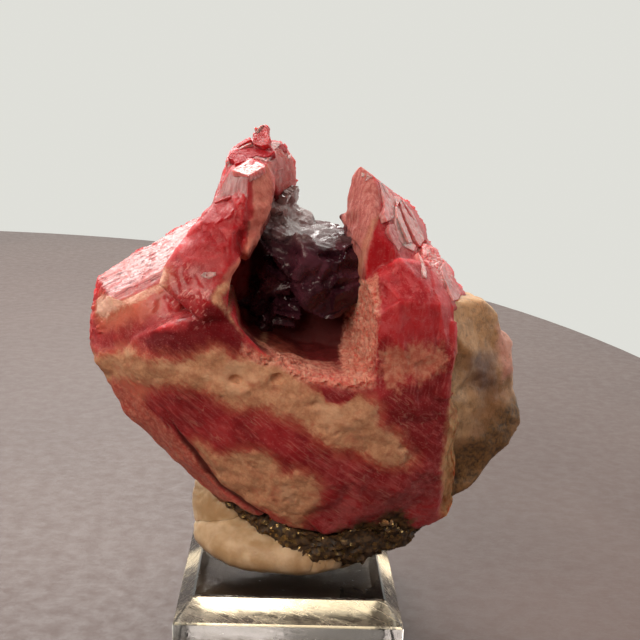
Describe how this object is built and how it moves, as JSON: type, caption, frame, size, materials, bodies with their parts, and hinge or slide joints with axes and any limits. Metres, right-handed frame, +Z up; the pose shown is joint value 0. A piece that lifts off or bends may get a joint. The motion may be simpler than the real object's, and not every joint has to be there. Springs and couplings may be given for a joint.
{
  "type": "rhodochrosite specimen",
  "caption": "Mineral specimen: red crystals with twin upright points around a hollow of purple fluorite, on pale quartz matrix, held by putty on a bevelled clear base.",
  "frame": {"origin": "centre of the acrylic base's underside", "axes": "+Z up, +X to the viewer's right, +Y away from the viewer, who looks at the broken face with the hollow"},
  "size_m": [0.0767, 0.0435, 0.089],
  "materials": {
    "rhodochrosite": "translucent red and pink crystals with tan zones, vitreous to waxy",
    "fluorite": "very dark purple, glossy",
    "quartz_matrix": "pale grainy quartz with rusty stains and a dark crust below",
    "mineral_tack": "cream kneaded putty, matte",
    "clear_acrylic": "clear polished acrylic with fine scratches"
  },
  "bodies": {
    "root": {"rhodochrosite": "rhodochrosite", "fluorite": "fluorite", "quartz_matrix": "quartz_matrix", "mineral_tack": "mineral_tack", "acrylic_base": "clear_acrylic"}
  },
  "joints": []
}
